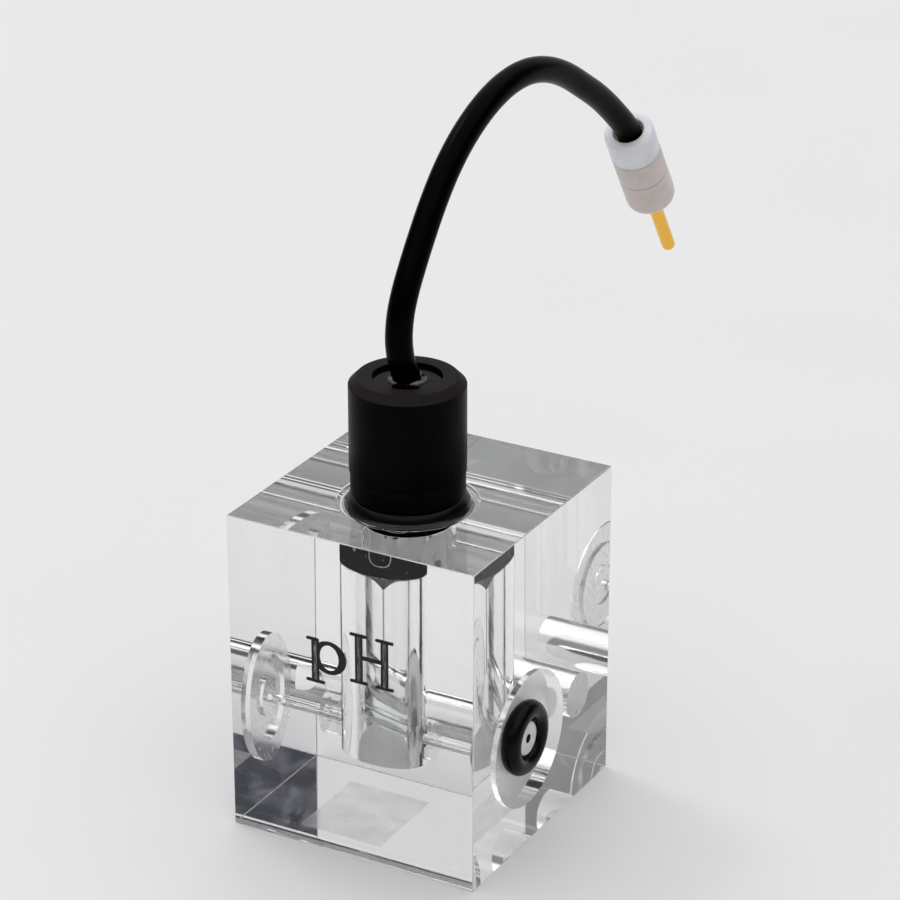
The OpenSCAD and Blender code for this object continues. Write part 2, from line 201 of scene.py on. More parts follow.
def weld(patches):
    """Joins patches into one set of points and triangles, with equal points made one."""
    points, triangles, finishes, start = [], [], [], 0
    for flat, faces, finish in patches:
        points.append(flat)
        triangles.append(faces + start)
        finishes.append(finish)
        start += len(flat)
    points = np.concatenate(points)
    triangles = np.concatenate(triangles)
    finishes = np.concatenate(finishes)
    _, first, same = np.unique(np.round(points, 5), axis=0, return_index=True, return_inverse=True)
    triangles = same.reshape(-1)[triangles]
    points = points[first]
    a, b, c = triangles.T
    good = (a != b) & (b != c) & (c != a)
    return stitch(points, triangles[good], finishes[good])


def stitch(points, triangles, finishes):
    """Closes seams where a patch has points along the straight edge of its neighbour.

    An open edge belongs to one triangle only. A triangle whose open edge passes through other points
    becomes a fan from the opposite corner, and this repeats until no open edge holds a point.
    """
    while True:
        edges = np.concatenate([triangles[:, [0, 1]], triangles[:, [1, 2]], triangles[:, [2, 0]]])
        _, same, count = np.unique(np.sort(edges, 1), axis=0, return_inverse=True, return_counts=True)
        is_open = np.flatnonzero(count[same.reshape(-1)] == 1)
        rim = np.unique(edges[is_open])
        split = {}
        for edge in is_open:
            a, b = edges[edge]
            length = np.linalg.norm(points[b] - points[a])
            run = (points[b] - points[a]) / length
            way = (points[rim] - points[a]) @ run
            off = np.linalg.norm(points[rim] - points[a] - way[:, None] * run, axis=1)
            on = (off < SEAM) & (way > SEAM) & (way < length - SEAM)
            if on.any():
                split[edge % len(triangles)] = (edge // len(triangles), rim[on][np.argsort(way[on])])
        if not split:
            return points, triangles, finishes
        fans, numbers = [], []
        for owner, (side, between) in split.items():
            a, b, apex = np.roll(triangles[owner], -side)
            line = [a, *between, b]
            fans += [(p, q, apex) for p, q in zip(line[:-1], line[1:])]
            numbers += [finishes[owner]] * (len(line) - 1)
        kept = np.setdiff1d(np.arange(len(triangles)), list(split))
        triangles = np.concatenate([triangles[kept], fans])
        finishes = np.concatenate([finishes[kept], numbers])


def piece(name, patches, materials, recalculate=True, slot=None, replaces=()):
    """Makes the patches, which are in millimetres, one smooth-shaded object of the scene."""
    points, triangles, finishes = weld(patches)
    mesh = bpy.data.meshes.new(name)
    mesh.from_pydata((points * MM).tolist(), [], triangles.tolist())
    for one in materials:
        mesh.materials.append(one)
    mesh.polygons.foreach_set("material_index", finishes.astype(np.int32))
    if recalculate:
        work = bmesh.new()
        work.from_mesh(mesh)
        bmesh.ops.recalc_face_normals(work, faces=work.faces)
        work.to_mesh(mesh)
        work.free()
    mesh.polygons.foreach_set("use_smooth", np.ones(len(mesh.polygons), bool))
    mesh.set_sharp_from_angle(angle=SMOOTH_BELOW)
    mesh.update()
    made = bpy.data.objects.new(name, mesh)
    bpy.context.scene.collection.objects.link(made)
    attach(made, "root")
    if replaces:
        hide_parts(*replaces)
    return made


def turn_angles(steps, extra=()):
    """Angles of a full turn, evenly spaced, with some extra ones between them.

    An even one within a fifth of a step of an extra one is dropped, so that no sliver is left.
    """
    even = np.linspace(0, 2 * math.pi, steps + 1)
    more = np.mod(np.asarray(list(extra), float), 2 * math.pi)
    near = (np.abs(even[:, None] - more) < 0.2 * even[1]).any(1)
    near[[0, -1]] = False
    return np.unique(np.round(np.concatenate([even[~near], more]), 9))


def across(direction):
    """Two unit vectors square to a direction and to each other."""
    direction = unit(direction)
    helper = np.array([1.0, 0, 0]) if abs(direction[0]) < 0.9 else np.array([0, 1.0, 0])
    first = unit(np.cross(np.cross(direction, helper), direction))
    return first, np.cross(direction, first)


def to_line(point, direction, sign=1):
    """Facing for a patch: square from each triangle's centre to a line, or with sign -1 away."""
    point, direction = np.asarray(point, float), np.asarray(direction, float)

    def facing(centres):
        way = sign * (point - centres)
        return way - (way @ direction)[:, None] * direction
    return facing


def revolve(profile, origin, direction, angles):
    """Grid of a turned surface: each profile point (radius, height) carried round the axis.

    Point = origin + height * direction + radius * (cos(angle) * first + sin(angle) * second).
    """
    profile = np.asarray(profile, float)
    first, second = across(direction)
    ring = np.cos(angles)[:, None] * first + np.sin(angles)[:, None] * second
    along = np.asarray(origin, float) + profile[:, 1, None] * unit(direction)
    return along[:, None, :] + profile[:, 0, None, None] * ring[None, :, :]


def rounded(profile, radii, steps=6):
    """Closed profile with each corner replaced by an arc of its own radius.

    The arc touches both sides at radius / tan(half the corner's angle) from the corner.
    """
    profile = np.asarray(profile, float)
    out = []
    for i, corner in enumerate(profile):
        radius = radii[i]
        if radius <= 0:
            out.append(corner[None])
            continue
        a = profile[i - 1] - corner
        b = profile[(i + 1) % len(profile)] - corner
        la, lb = np.linalg.norm(a), np.linalg.norm(b)
        a, b = a / la, b / lb
        half = math.acos(np.clip(a @ b, -1, 1)) / 2
        touch = min(radius / math.tan(half), 0.49 * la, 0.49 * lb)
        radius = touch * math.tan(half)
        centre = corner + unit(a + b) * radius / math.sin(half)
        start = corner + a * touch - centre
        end = corner + b * touch - centre
        t = np.linspace(0, 1, steps + 1)[:, None]
        swing = math.pi - 2 * half
        arc = (np.sin((1 - t) * swing) * start + np.sin(t * swing) * end) / math.sin(swing)
        out.append(centre + arc)
    return np.concatenate(out)


def turned_piece(name, profile, origin, direction, materials, steps=96, finish=0, **more):
    """Closed solid of revolution from a closed profile of (radius, height) points."""
    loop = np.concatenate([profile, profile[:1]])
    grid = revolve(loop, origin, direction, turn_angles(steps))
    materials = materials if isinstance(materials, list) else [materials]
    return piece(name, [patch(grid, UP, finish)], materials, **more)


def torus(name, mean_r, section_r, origin, direction, material, **more):
    """Ring of round section: a circle of section_r carried round at mean_r."""
    t = np.linspace(0, 2 * math.pi, 49)[:-1]
    profile = np.stack([mean_r + section_r * np.cos(t), section_r * np.sin(t)], -1)
    return turned_piece(name, profile, origin, direction, material, steps=128, **more)


# Materials

ACRYLIC_INDEX = 1.491
# Reflection of a clean acrylic surface, a little below the full one
SOFT_SHINE = (0.6, 0.6, 0.6, 1.0)
# Between these values a noise spends most of its area
NOISE_RANGE = (0.3, 0.7)
# Heights above the flat resin over which the epoxy turns from dull to glossy
GLOSS_RISE = np.array([0.03, 0.12])


def linear(hex_colour):
    """sRGB hex value as linear red, green, blue and alpha."""
    values = [int(hex_colour[i:i + 2], 16) / 255 for i in (1, 3, 5)]
    return tuple(v / 12.92 if v <= 0.04045 else ((v + 0.055) / 1.055) ** 2.4 for v in values) + (1,)


def add(tree, kind, inputs=(), **settings):
    """Adds a shader node, sets its properties, and fills its inputs with values or links."""
    node = tree.nodes.new("ShaderNode" + kind)
    for key, value in settings.items():
        setattr(node, key, value)
    for key, value in dict(inputs).items():
        if isinstance(value, bpy.types.NodeSocket):
            tree.links.new(value, node.inputs[key])
        else:
            node.inputs[key].default_value = value
    return node


def parts(made):
    """A material's node tree and its Principled shader."""
    return made.node_tree, made.node_tree.nodes["Principled BSDF"]


def principled(name, colour, roughness, **sockets):
    """A Principled material with constants on its own sockets."""
    made = bpy.data.materials.new(name)
    made.use_nodes = True
    shader = parts(made)[1]
    shader.inputs["Base Color"].default_value = linear(colour)
    shader.inputs["Roughness"].default_value = roughness
    for key, value in sockets.items():
        shader.inputs[key.replace("_", " ")].default_value = value
    return made


def bump(made, marks, strength, distance_mm):
    """Links marks to the material's normal, with their real depth in millimetres."""
    tree, shader = parts(made)
    node = add(tree, "Bump", {"Height": grain(made, *marks), "Strength": strength,
                              "Distance": distance_mm * MM})
    tree.links.new(node.outputs["Normal"], shader.inputs["Normal"])
    return made


def grain(made, size_mm, detail=2.0, stretch=(1, 1, 1)):
    """Noise in the object's coordinates, with grains of a real size; stretch shortens them."""
    tree = made.node_tree
    coords = add(tree, "TexCoord")
    place = add(tree, "Mapping", {"Vector": coords.outputs["Object"],
                                  "Scale": tuple(k / (size_mm * MM) for k in stretch)})
    noise = add(tree, "TexNoise", {"Vector": place.outputs["Vector"], "Scale": 1.0, "Detail": detail})
    return noise.outputs["Fac"]


def ramp(tree, value, source, target=(0, 1), kind="LINEAR"):
    """Carries a value from the source range over to the target range."""
    return add(tree, "MapRange", {"Value": value, "From Min": source[0], "From Max": source[1],
                                  "To Min": target[0], "To Max": target[1]},
               interpolation_type=kind).outputs["Result"]


def spread(made, socket, value, low, high):
    """Lets a socket follow a noise value, from low to high over the noise's usual range."""
    tree, shader = parts(made)
    tree.links.new(ramp(tree, value, NOISE_RANGE, (low, high)), shader.inputs[socket])


def tint(made, marks, first, second, low=0.35, high=0.65):
    """Lets the base colour follow marks, from the first to the second colour."""
    tree, shader = parts(made)
    node = add(tree, "ValToRGB", {"Fac": grain(made, *marks)})
    ends = node.color_ramp.elements
    ends[0].position, ends[0].color = low, linear(first)
    ends[1].position, ends[1].color = high, linear(second)
    tree.links.new(node.outputs["Color"], shader.inputs["Base Color"])
    return made


def acrylic(name, rough, size_mm, passes=1.0, stretch=(1, 1, 1), pair=("#f7f8f8", "#fafbfb"), **more):
    """Acrylic whose roughness and faint tint vary with the marks that its tool has left.

    rough is its least and most roughness, size_mm the marks' size, and passes the share of the
    light that goes through.
    """
    made = principled(name, pair[1], rough[0], IOR=ACRYLIC_INDEX, Transmission_Weight=passes, **more)
    marks = (size_mm, 3.0, stretch)
    if rough[1] > rough[0]:
        spread(made, "Roughness", grain(made, *marks), *rough)
    return tint(made, marks, *pair)


def block_finishes():
    """Materials of the block's surfaces, in the order of their numbers."""
    return [
        # Polished with a diamond: water clear, with the faintest uneven tint
        acrylic("polished_cast_acrylic", (0, 0), 6, Specular_Tint=SOFT_SHINE),
        # Bored wall: clear, with a faint haze from the tool that softens what shows through
        acrylic("bored_acrylic", (0.04, 0.09), 0.5, Specular_Tint=SOFT_SHINE),
        # End-milled floor: satin and milky, it scatters the light that passes through
        acrylic("milled_acrylic", (0.27, 0.33), 0.6, 0.3, pair=("#fafafb", "#fdfdfe")),
        label_paper(),
        # Edge broken with a scraper: a thin satin line that catches the light
        acrylic("scraped_acrylic_edge", (0.28, 0.42), 0.4, 0.45, pair=("#f0f0f2", "#fdfdfe")),
        # Drilled wall: its spiral marks, 0.2 mm apart along X, blur what shows through it
        acrylic("drilled_acrylic", (0.1, 0.18), 2.0, stretch=(10, 1, 1)),
        # Lapped face with a film of cement: hazy, with a soft cloudiness half a millimetre wide
        acrylic("glued_acrylic", (0.1, 0.32), 0.5, 0.88, pair=("#f0f0f2", "#fafafb")),
    ]


def silicone_in_acrylic():
    """Clear silicone that fills a bore in acrylic. Its index is that of silicone over acrylic."""
    return tint(principled("clear_silicone", "#f4f2ee", 0.15, Transmission_Weight=0.95, IOR=0.965),
                (0.6,), "#f6f4f0", "#fbfaf9")


def label_paper():
    """Blank white paper label stuck under the block: its glue hasn't taken everywhere, and lets more
    light through in soft clouds about 3 mm wide."""
    made = acrylic("white_label_paper", (0.08, 0.16), 3.2, 0.0, pair=("#f6f5f6", "#fdfdfe"))
    spread(made, "Transmission Weight", grain(made, 3.2, 3.0), 0.42, 0.76)
    return made


def black_acetal(name, colour, roughness):
    """Turned black acetal: satin, with tool rings 0.12 mm apart, coarser than real so that they show."""
    return bump(principled(name, colour, roughness, IOR=1.48, Specular_IOR_Level=0.035),
                (2.4, 2.0, (1, 1, 20)), 0.25, 0.01)


def bonded_acetal():
    """Black acetal stem seen through cement, with pale specks of dust in the joint."""
    return tint(principled("bonded_black_acetal", "#070709", 0.5, Specular_IOR_Level=0.0),
                (0.4, 1.0), "#020203", "#87827b", 0.71, 0.77)


def bevelled_acetal():
    """Edge of the stem, wetted by brown sealant that has run along it in patches."""
    return tint(principled("bevelled_black_acetal", "#3d352e", 0.5, Specular_IOR_Level=0.0),
                (0.35, 3.0), "#51453a", "#cdbfae", 0.4, 0.66)


def nitrile_rubber():
    """Moulded nitrile rubber: deep black with a soft sheen."""
    return bump(principled("nitrile_rubber", "#030303", 0.25, IOR=1.5, Specular_IOR_Level=0.12),
                (0.08, 3.0), 0.2, 0.01)


def black_epoxy():
    """Cast black epoxy: dulled by handling where it lies flat, and still glossy on the fillet that
    has crept up the lead."""
    made = principled("cast_black_epoxy", "#050506", 0.12, IOR=1.55)
    tree, shader = parts(made)
    coords = add(tree, "TexCoord")
    apart = add(tree, "SeparateXYZ", {"Vector": coords.outputs["Object"]})
    heights = (LEAD_EXIT[2] + GLOSS_RISE) * MM
    gloss = ramp(tree, apart.outputs["Z"], heights, (0.04, 0.9))
    tree.links.new(gloss, shader.inputs["Specular IOR Level"])
    return bump(made, (0.9,), 0.35, 0.05)


def pvc_jacket():
    """Extruded black PVC: satin, with a faint waviness along its length."""
    return bump(principled("extruded_black_pvc", "#020203", 0.26, IOR=1.53, Specular_IOR_Level=0.022),
                (1.2, 3.0), 0.2, 0.04)


def ptfe(name, colour, shade):
    """Turned PTFE: a waxy white that lets light a little way in, faintly clouded inside."""
    return tint(principled(name, colour, 0.38, IOR=1.35, Subsurface_Weight=0.6,
                           Subsurface_Scale=0.8 * MM, Subsurface_Radius=(1.0, 0.95, 0.9)),
                (1.6,), shade, colour)


def nozzle_bore():
    """Inside of the nozzle's hole: painted shade, a dark grey that is lighter and darker at random."""
    return tint(principled("nozzle_bore_painted_shade", "#2a2a2c", 0.5, IOR=1.35),
                (0.3,), "#1c1c1e", "#3a3a3d")


def metal(name, colour, roughness):
    """Bare or plated metal, with a fine unevenness 0.15 mm wide."""
    return bump(principled(name, colour, roughness, Metallic=1.0), (0.15,), 0.15, 0.01)


def dark_sealant():
    """Brown-black sealant drop, satin, seen through the chamber's wall."""
    return bump(principled("dark_sealant", "#2a211c", 0.5, IOR=1.45, Specular_IOR_Level=0.25),
                (0.6,), 0.4, 0.05)


def bubble_edge_painted_highlight():
    """Painted highlight of an air bubble in the cement: pale colour for the light its rim turns and
    reflects.
    """
    return tint(principled("bubble_edge_painted_highlight", "#d6d3ce", 0.3, IOR=1.45), (0.4,), "#b5b0aa", "#f0eeea")


def filled_enamel():
    """Black enamel rubbed into an engraving."""
    return bump(principled("black_enamel", "#060607", 0.35, IOR=1.5, Specular_IOR_Level=0.3),
                (0.1,), 0.3, 0.01)


def enamel_painted_highlight():
    """Painted highlight along the middle of the strokes: grey streaks in the enamel, 0.12 mm wide, 0.9
    long.
    """
    return tint(principled("black_enamel_painted_highlight", "#1b1b1e", 0.4, IOR=1.5),
                (0.9, 2.0, (7.5, 0.001, 1)), "#0b0b0d", "#85858c", 0.4, 0.68)


# Clear block

def on_rectangle(angles, centre, low, high):
    """Point where the ray at each angle from the centre leaves the rectangle low to high."""
    ray = np.stack([np.cos(angles), np.sin(angles)], -1)
    with np.errstate(divide="ignore"):
        far = np.where(ray > 0, (np.asarray(high) - centre) / ray, (np.asarray(low) - centre) / ray)
    far = np.where(np.abs(ray) < 1e-12, np.inf, far)
    return centre + ray * far.min(-1, keepdims=True)


def corner_angles(centre, low, high):
    """Angles from a centre to the four corners of a rectangle."""
    return [math.atan2(v - centre[1], u - centre[0])
            for u in (low[0], high[0]) for v in (low[1], high[1])]


def window(angles, centre, radius, low, high, rings=2):
    """Flat grid from a round hole out to the rectangle round it, along the rays at the angles."""
    centre = np.asarray(centre, float)
    inner = centre + radius * np.stack([np.cos(angles), np.sin(angles)], -1)
    outer = on_rectangle(angles, centre, low, high)
    t = np.linspace(0, 1, rings + 1)[:, None, None]
    return inner + (outer - inner) * t


def inset_corners():
    """Lowest and highest corner of the block, inset by its broken edges: there its faces end."""
    return BLOCK_LOW + EDGE_BREAK, BLOCK_HIGH - EDGE_BREAK


def edge_strips():
    """Twelve flat strips between the inset faces, and eight triangles where the strips meet."""
    low, high = BLOCK_LOW, BLOCK_HIGH
    inner_low, inner_high = inset_corners()
    patches = []
    for axis, su, sv in product(range(3), (0, 1), (0, 1)):
        u, v = (axis + 1) % 3, (axis + 2) % 3
        ends = []
        for end in (inner_low[axis], inner_high[axis]):
            a, b = np.zeros(3), np.zeros(3)
            a[axis] = b[axis] = end
            a[u], a[v] = (low, high)[su][u], (inner_low, inner_high)[sv][v]
            b[u], b[v] = (inner_low, inner_high)[su][u], (low, high)[sv][v]
            ends.append([a, b])
        facing = np.zeros(3)
        facing[u], facing[v] = 2 * su - 1, 2 * sv - 1
        patches.append(patch(ends, facing, SCRAPED))
    for side in product((0, 1), repeat=3):
        outer = np.where(side, high, low)
        inner = np.where(side, inner_high, inner_low)
        a, b, c = [np.where(np.arange(3) == k, outer, inner) for k in range(3)]
        patches.append(patch([[a, b], [c, c]], 2 * np.array(side) - 1, SCRAPED))
    return patches


# Finishes of the block's surfaces
POLISHED, BORED, MILLED, LABEL, SCRAPED, DRILLED, GLUED = range(7)
# The blank label stuck under the block
LABEL_LOW = (-6.8, -7.8)
LABEL_HIGH = (1.3, 7.8)


def cement_profile():
    """Surface of the clear cement that fills the seat round the plug's ring.

    It dips by half a sine between the seat's wall and the ring, climbs the ring with the cube of
    the way across, and then follows the ring's section, just inside it, to its lowest point.
    """
    section = (RING_HIGH[2] - RING_LOW[2]) / 2
    mean, middle = RING_HIGH[0] - section, RING_LOW[2] + section
    section -= 3 * BOND
    top = BLOCK_HIGH[2]
    start = math.asin((top + CEMENT_CLIMB - middle) / section)
    turn = np.linspace(start, -math.pi / 2, 20)
    ring = np.stack([mean + section * np.cos(turn), middle + section * np.sin(turn)], -1)
    s = np.linspace(0, 1, 17)[:-1]
    wall_z = top - CEMENT_BELOW_RIM
    r = PORT_R + (ring[0][0] - PORT_R) * s
    z = wall_z - CEMENT_DIP * np.sin(math.pi * s) + (ring[0][1] - wall_z) * s ** 3
    return [tuple(q) for q in np.concatenate([np.stack([r, z], -1), ring])]


def cell_block_piece():
    """Clear block whose bores are worked out as one closed surface.

    Planes with a round hole are grids from the hole out to the plane's edge. Bores are turned
    profiles. The chamber's wall has a window on each side, where the glass passes through: in the
    coordinates (offset from the axis, height) the glass's outline on the wall is a circle.
    """
    low, high = BLOCK_LOW, BLOCK_HIGH
    inner_low, inner_high = inset_corners()
    patches = edge_strips()
    axis, flow = np.array(PLUG_AT[:2]), np.array(FLOW_AT[1:])

    # Front, back and bottom faces are plain
    xs, zs = [(inner_low[k], inner_high[k]) for k in (0, 2)]
    for y, facing in ((low[1], FRONT), (high[1], BACK)):
        patches.append(patch([[(x, y, z) for x in xs] for z in zs], facing, POLISHED))

    def under(c):
        inside = ((c[:, :2] > LABEL_LOW) & (c[:, :2] < LABEL_HIGH)).all(1)
        return np.where(inside, LABEL, POLISHED)

    xs, ys = [(inner_low[k], LABEL_LOW[k], LABEL_HIGH[k], inner_high[k]) for k in (0, 1)]
    patches.append(patch([[(x, y, low[2]) for x in xs] for y in ys], DOWN, under))

    # Glass outline on the chamber's wall, and the window round it
    half_w, half_h = WINDOW_HALF
    corners = -np.array(WINDOW_HALF), np.array(WINDOW_HALF)
    # The window's rim has a point wherever the chamber's wall above and below it has one
    on_wall = CHAMBER_R * np.sin(turn_angles(WALL_STEPS))
    on_wall = on_wall[np.abs(on_wall) < half_w]
    meet = [math.atan2(side * half_h, y) for side in (-1, 1) for y in on_wall]
    glass_turn = turn_angles(128, corner_angles(np.zeros(2), *corners) + meet)
    hole = window(glass_turn, np.zeros(2), GLASS_R, *corners, rings=6)
    rim = hole[-1]
    on_rim = rim[np.abs(np.abs(rim[:, 1]) - half_h) < 1e-9][:, 0]
    rim_turn = np.arcsin(np.clip(np.unique(np.round(on_rim, 9)) / CHAMBER_R, -1, 1))
    wall_turn = np.concatenate([rim_turn, math.pi - rim_turn])

    # Top face and everything bored from it
    top_low, top_high = inner_low[:2], inner_high[:2]
    extra = np.concatenate([corner_angles(axis, top_low, top_high), wall_turn])
    top_turn = turn_angles(WALL_STEPS, extra)
    plane = window(top_turn, axis, PORT_R, top_low, top_high)
    patches.append(patch(np.dstack([plane, np.full(plane.shape[:2], high[2])]), UP, POLISHED))

    def bore(profile, number, facing, turn=top_turn, origin=PLUG_AT, direction=UP):
        patches.append(patch(revolve(profile, origin, direction, turn), facing, number))

    inward = to_line(PLUG_AT, UP)
    stem_r = CHAMBER_R - 3 * BOND
    fill = cement_profile()
    bore([(PORT_R, high[2]), fill[0]], BORED, inward)
    bore(fill, POLISHED, UP)
    bore([fill[-1], (stem_r, fill[-1][1])], POLISHED, UP)
    bore([(stem_r, fill[-1][1]), (stem_r, STEM_Z)], BORED, inward)
    bore([(stem_r, STEM_Z), (CHAMBER_R, STEM_Z)], BORED, DOWN)
    band_low, band_high = CHANNEL_Z - half_h, CHANNEL_Z + half_h
    bore([(CHAMBER_R, STEM_Z), (CHAMBER_R, band_high)], BORED, inward)
    bore([(CHAMBER_R, band_low), (CHAMBER_R, CHAMBER_FLOOR_Z)], BORED, inward)
    bore([(CHAMBER_R, CHAMBER_FLOOR_Z), (0, CHAMBER_FLOOR_Z)], MILLED, UP)
    # Between the two windows, in front and at the back, the wall is plain
    reach = math.pi / 2 - math.asin(half_w / CHAMBER_R) + 1e-6
    for middle in (math.pi / 2, 1.5 * math.pi):
        turn = top_turn[np.abs(top_turn - middle) < reach]
        bore([(CHAMBER_R, band_high), (CHAMBER_R, band_low)], BORED, inward, turn)
    for side in (-1, 1):
        x = side * np.sqrt(CHAMBER_R ** 2 - hole[:, :, 0] ** 2)
        grid = np.dstack([x, AXIS_Y + hole[:, :, 0], CHANNEL_Z + hole[:, :, 1]])
        patches.append(patch(grid, inward, BORED))

    # Glass tube across the chamber, between the two outlines
    outline = hole[0]
    x = np.sqrt(CHAMBER_R ** 2 - outline[:, 0] ** 2)
    ends = [np.stack([s * x, AXIS_Y + outline[:, 0], CHANNEL_Z + outline[:, 1]], -1) for s in (-1, 1)]
    to_flow, from_flow = to_line(FLOW_AT, RIGHT), to_line(FLOW_AT, RIGHT, -1)
    patches.append(patch(np.stack(ends), from_flow, POLISHED))

    # Right and left faces, with the bores along X. The left face is split halfway between the edges
    # of its port and of the guide bore
    split_y = (AXIS_Y + PORT_R + high[1] - GUIDE_FROM_BACK - GUIDE_R) / 2
    right_low, right_high = inner_low[1:], inner_high[1:]
    left_high = np.array([split_y, right_high[1]])
    extra = corner_angles(flow, right_low, right_high) + corner_angles(flow, right_low, left_high)
    flow_turn = turn_angles(WALL_STEPS, extra)

    def end_face(turn, centre, radius, face_low, face_high, x, facing):
        plane = window(turn, centre, radius, face_low, face_high)
        grid = np.dstack([np.full(plane.shape[:2], x), plane])
        patches.append(patch(grid, facing, POLISHED))

    right_x, left_x = high[0], low[0]
    end_face(flow_turn, flow, PORT_R, right_low, right_high, right_x, RIGHT)
    nozzle_r = (NOZZLE_HIGH[2] - NOZZLE_LOW[2]) / 2 - BOND
    seat_x, groove_x = left_x + INLET_SEAT_DEPTH, left_x + GROOVE_DEPTH
    # The way along X as (radius, x) points, each with the finish and facing of the surface before it
    start = (PORT_R, right_x)
    for end, number, facing in (
            ((PORT_R, PORT_FLOOR_X), DRILLED, to_flow),
            ((nozzle_r, PORT_FLOOR_X), MILLED, RIGHT),
            ((nozzle_r, NOZZLE_ROOT_X), BORED, to_flow),
            ((CHANNEL_R, NOZZLE_ROOT_X), BORED, RIGHT),
            ((CHANNEL_R, seat_x), BORED, to_flow),
            ((INLET_SEAT_R, seat_x), GLUED, LEFT),
            ((INLET_SEAT_R, left_x), DRILLED, to_flow),
            ((BOSS_R, left_x), GLUED, LEFT),
            ((BOSS_R, groove_x), DRILLED, from_flow),
            ((PORT_R, groove_x), GLUED, LEFT),
            ((PORT_R, left_x), DRILLED, to_flow)):
        bore([start, end], number, facing, flow_turn, FLOW_AT, RIGHT)
        start = end
    end_face(flow_turn, flow, PORT_R, right_low, left_high, left_x, LEFT)

    # Guide bore near the back
    guide = np.array([high[1] - GUIDE_FROM_BACK, GUIDE_Z])
    guide_low = np.array([split_y, right_low[1]])
    guide_turn = turn_angles(128, corner_angles(guide, guide_low, right_high))
    end_face(guide_turn, guide, GUIDE_R, guide_low, right_high, left_x, LEFT)
    guide_at = (0, *guide)
    end_x = right_x - GUIDE_WALL
    bore([(GUIDE_R, left_x), (GUIDE_R, end_x)], DRILLED, to_line(guide_at, RIGHT), guide_turn,
         guide_at, RIGHT)
    bore([(GUIDE_R, end_x), (0, end_x)], MILLED, LEFT, guide_turn, guide_at, RIGHT)
    return piece("clear_cell_block", patches, block_finishes(), recalculate=False,
                 slot="clear_acrylic", replaces=("cell_block", "inlet_bush", "glass_capillary"))


def gland_piece(name, from_x, to_x, material):
    """Clear seal round the glass, a washer set just inside the block's surface."""
    profile = [(GLASS_R, from_x), (GLAND_R, from_x), (GLAND_R, to_x), (GLASS_R, to_x)]
    return turned_piece(name, profile, FLOW_AT, RIGHT, material,
                        slot="clear_sealant", replaces=(name[6:],))


def nozzle_piece(materials):
    """White nozzle with its sample hole: the white body, and the inside of the hole."""
    outer = (NOZZLE_HIGH[2] - NOZZLE_LOW[2]) / 2
    end = NOZZLE_HIGH[0]
    profile = [(NOZZLE_HOLE_R, NOZZLE_ROOT_X), (outer, NOZZLE_ROOT_X), (outer, end - NOZZLE_LIP),
               (outer - NOZZLE_LIP, end), (NOZZLE_HOLE_R, end)]

    def part(c):
        return (np.hypot(c[:, 1] - AXIS_Y, c[:, 2] - CHANNEL_Z) < NOZZLE_HOLE_R + BOND).astype(int)

    return turned_piece("nozzle_body", rounded(profile, [0, 0, 0, 0, 0.04]), FLOW_AT,
                        RIGHT, materials, steps=72, finish=part, slot="white_nozzle",
                        replaces=("flow_nozzle",))


# Black plug, cap and rings

def plug_piece(materials):
    """Stem, ring groove, collar and spigot turned in one piece: collar, stem and the stem's edge."""
    stem_r = CHAMBER_R - 2 * BOND
    neck_r = (RING_HIGH[0] - (RING_HIGH[2] - RING_LOW[2])) - NECK_GAP
    collar_r = PLUG_HIGH[0]
    top = COLLAR_Z + COLLAR_H
    profile = [(0, STEM_Z), (stem_r, STEM_Z), (stem_r, SEAT_Z), (neck_r, SEAT_Z), (neck_r, COLLAR_Z),
               (collar_r, COLLAR_Z), (collar_r, top), (SPIGOT_R, top), (SPIGOT_R, PLUG_HIGH[2]),
               (0, PLUG_HIGH[2])]
    radii = [0, STEM_EDGE, 0.05, 0.05, 0.1, 0.15, 0.15, 0, 0.1, 0]
    stem_top = SEAT_Z - 0.1

    def part(c):
        return np.where(c[:, 2] > stem_top, 0, np.where(c[:, 2] > STEM_Z + STEM_EDGE, 1, 2))

    return turned_piece("electrode_plug_body", rounded(profile, radii), PLUG_AT, UP, materials,
                        steps=160, finish=part, slot="black_plastic", replaces=("electrode_plug",))


def cap_piece(materials):
    """Cap with a chamfered, slightly rounded top and the potting well: side, then chamfer and top."""
    r = (CAP_HIGH[0] - CAP_LOW[0]) / 2
    low, top = CAP_LOW[2], CAP_HIGH[2]
    bottom_of_well = PLUG_HIGH[2]
    inner_r = SPIGOT_R + SPIGOT_GAP
    profile = [(inner_r, low), (r, low), (r, top - CAP_CHAMFER), (r - CAP_CHAMFER, top),
               (WELL_R, top), (WELL_R, bottom_of_well), (inner_r, bottom_of_well)]
    radii = [0, 0.12, 0.12, 0.12, 0.06, 0, 0]

    # The chamfer and top take the lighter material: partly the grey of a scraped surface, partly painted
    # sheen where they face the ceiling
    def part(c):
        return (c[:, 2] > top - CAP_CHAMFER).astype(int)

    return turned_piece("cap_body", rounded(profile, radii), PLUG_AT, UP, materials,
                        steps=160, finish=part, slot="black_plastic", replaces=("lead_cap",))


def drop_piece(material):
    """Sealant drop under the plug: radius falls to the wire with a slightly hollow flank."""
    base_r = DROP_HIGH[0]
    tip_r = 0.22
    hollow = 0.04
    t = np.linspace(0, 1, 20)
    r = base_r + (tip_r - base_r) * (t + hollow * np.sin(math.pi * t))
    z = STEM_Z - (STEM_Z - DROP_LOW[2]) * t
    profile = np.concatenate([[(0, STEM_Z + BOND)], np.stack([r, z], -1), [(0, z[-1])]])
    return turned_piece("sealant_drop", profile, PLUG_AT, UP, material, slot="black_resin",
                        replaces=("wire_seal",))


